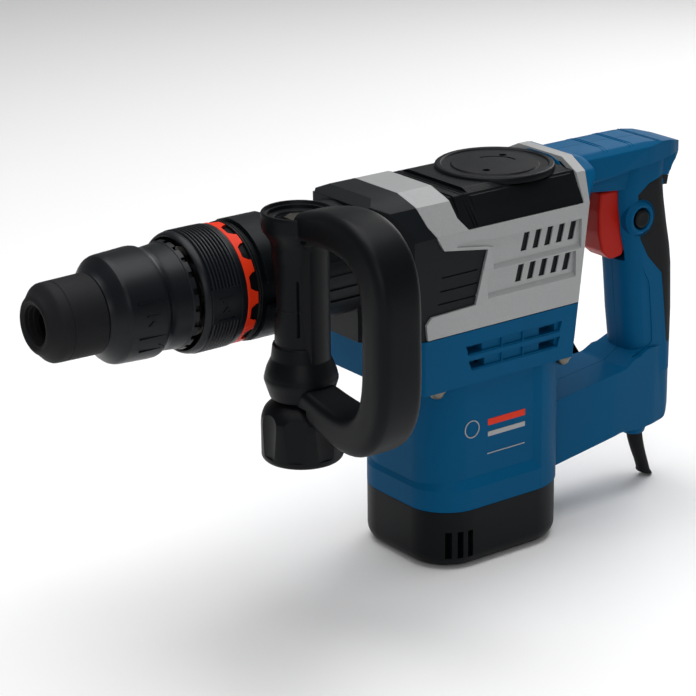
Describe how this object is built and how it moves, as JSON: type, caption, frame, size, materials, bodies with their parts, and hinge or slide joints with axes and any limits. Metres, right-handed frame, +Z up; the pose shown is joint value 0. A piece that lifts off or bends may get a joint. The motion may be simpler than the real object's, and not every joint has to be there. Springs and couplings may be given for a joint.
{
  "type": "electric jackhammer",
  "caption": "Electric demolition hammer with a D-shaped rear handle, a clamped D-shaped side handle and a turning chuck for SDS-max chisels.",
  "frame": {"origin": "centre of the beat piece's striking face, at the bottom of the chisel bore, on the hammer axis", "axes": "+X along the hammer axis towards the rear handle, +Y to the tool's right side, +Z up, away from the motor"},
  "size_m": [0.4565, 0.1892, 0.2587],
  "materials": {
    "black_plastic": "moulded glass-filled nylon, fine spark texture",
    "black_casting": "die-cast, black coated",
    "chuck_plastic": "moulded, satin",
    "soft_rubber": "matt elastomer",
    "blue_plastic": "moulded, satin",
    "silver_plastic": "silver-grey paint on plastic",
    "red_plastic": "moulded, satin",
    "trigger_red": "moulded, half gloss",
    "hard_steel": "ground and hardened",
    "zinc_steel": "zinc plated",
    "laminations": "stacked sheet",
    "bronze": "turned",
    "carbon": "pressed carbon",
    "nylon": "moulded, natural"
  },
  "bodies": {
    "housing": {"gear_housing": "black_casting", "gear_cover": "black_plastic", "grease_cap": "black_plastic", "shroud": "silver_plastic", "motor_housing": "blue_plastic", "motor_end_cap": "black_plastic", "flange_screw_1": "zinc_steel", "flange_screw_2": "zinc_steel", "flange_screw_3": "zinc_steel", "flange_screw_4": "zinc_steel", "handle_left": "blue_plastic", "handle_right": "blue_plastic", "rubber_grip": "soft_rubber", "switch_module": "black_plastic", "cable_gland": "black_plastic", "strain_relief": "soft_rubber", "cover_screw_1": "zinc_steel", "cover_screw_2": "zinc_steel", "handle_screw_1": "zinc_steel", "handle_screw_2": "zinc_steel", "handle_screw_3": "zinc_steel", "handle_screw_4": "zinc_steel", "index_ring": "black_plastic", "holder_bushing": "bronze", "hammer_tube": "hard_steel", "crank_bearing": "zinc_steel", "stator": "laminations", "upper_bearing": "zinc_steel", "lower_bearing": "zinc_steel", "brush_left": "carbon", "brush_right": "carbon"},
    "chuck": {"tool_holder": "hard_steel", "dust_cap": "soft_rubber", "spring_seat": "zinc_steel", "sleeve_spring": "zinc_steel", "beat_piece_bushing": "nylon"},
    "sleeve": {"locking_sleeve": "chuck_plastic"},
    "roller_left": {"locking_roller_left": "hard_steel"},
    "roller_right": {"locking_roller_right": "hard_steel"},
    "index": {"adjusting_ring": "chuck_plastic", "index_teeth_ring": "red_plastic"},
    "anvil": {"beat_piece": "hard_steel"},
    "ram": {"striker": "hard_steel", "striker_seal": "soft_rubber"},
    "piston": {"piston": "hard_steel", "wrist_pin": "zinc_steel"},
    "rod": {"connecting_rod": "hard_steel"},
    "crank": {"crankshaft": "hard_steel", "crank_gear": "hard_steel"},
    "armature": {"armature_shaft": "hard_steel", "armature_core": "laminations", "commutator": "bronze", "cooling_fan": "black_plastic"},
    "clamp": {"clamp_band": "zinc_steel", "clamp_bolt": "zinc_steel"},
    "side_grip": {"side_handle": "black_plastic", "side_grip_insert": "soft_rubber"},
    "knob": {"clamp_knob": "black_plastic"},
    "switch_trigger": {"trigger": "trigger_red"},
    "lock_pin": {"lock_button": "black_plastic"}
  },
  "joints": [
    {"name": "chuck_turn", "type": "hinge", "parent": "housing", "child": "chuck", "pos_m": [0, 0, 0], "axis": [1, 0, 0], "continuous": true},
    {"name": "sleeve_pull", "type": "slide", "parent": "chuck", "child": "sleeve", "axis": [1, 0, 0], "range_m": [0, 0.008], "stiffness_N_per_m": 1200, "springref_m": -0.004},
    {"name": "roller_left_release", "type": "slide", "parent": "chuck", "child": "roller_left", "axis": [0, -1, 0], "range_m": [0, 0.0024]},
    {"name": "roller_right_release", "type": "slide", "parent": "chuck", "child": "roller_right", "axis": [0, 1, 0], "range_m": [0, 0.0024]},
    {"name": "index_ring_pull", "type": "slide", "parent": "chuck", "child": "index", "axis": [-1, 0, 0], "range_m": [0, 0.005], "stiffness_N_per_m": 1200, "springref_m": -0.004},
    {"name": "beat_piece_slide", "type": "slide", "parent": "chuck", "child": "anvil", "axis": [-1, 0, 0], "range_m": [0, 0.0055]},
    {"name": "ram_slide", "type": "slide", "parent": "housing", "child": "ram", "axis": [1, 0, 0], "range_m": [-0.0095, 0.008]},
    {"name": "piston_slide", "type": "slide", "parent": "housing", "child": "piston", "axis": [1, 0, 0], "range_m": [0, 0.028]},
    {"name": "rod_swing", "type": "hinge", "parent": "piston", "child": "rod", "pos_m": [0.138, 0, 0], "axis": [0, 0, 1], "range_deg": [-12, 12]},
    {"name": "crank_spin", "type": "hinge", "parent": "housing", "child": "crank", "pos_m": [0.216, 0, 0], "axis": [0, 0, 1], "continuous": true},
    {"name": "armature_spin", "type": "hinge", "parent": "housing", "child": "armature", "pos_m": [0.1835, 0, 0], "axis": [0, 0, 1], "continuous": true},
    {"name": "side_handle_swivel", "type": "hinge", "parent": "housing", "child": "clamp", "pos_m": [0.0437, 0, 0], "axis": [1, 0, 0], "continuous": true},
    {"name": "side_handle_swing", "type": "hinge", "parent": "clamp", "child": "side_grip", "pos_m": [0.0437, -0.05, 0], "axis": [0, 0, 1], "range_deg": [-50, 50]},
    {"name": "clamp_knob_turn", "type": "hinge", "parent": "clamp", "child": "knob", "pos_m": [0.0437, -0.05, -0.09], "axis": [0, 0, 1], "continuous": true},
    {"name": "trigger_pull", "type": "hinge", "parent": "housing", "child": "switch_trigger", "pos_m": [0.316, 0, 0.002], "axis": [0, -1, 0], "range_deg": [0, 8], "stiffness_Nm_per_rad": 0.4, "springref_deg": -5.73},
    {"name": "lock_button_push", "type": "slide", "parent": "housing", "child": "lock_pin", "axis": [0, 1, 0], "range_m": [0, 0.003], "stiffness_N_per_m": 300, "springref_m": -0.002}
  ],
  "couplings": [
    {"joint": "roller_left_release", "follows": "sleeve_pull", "ratio": 0.3},
    {"joint": "roller_right_release", "follows": "sleeve_pull", "ratio": 0.3},
    {"joint": "armature_spin", "follows": "crank_spin", "ratio": -6.4286}
  ]
}
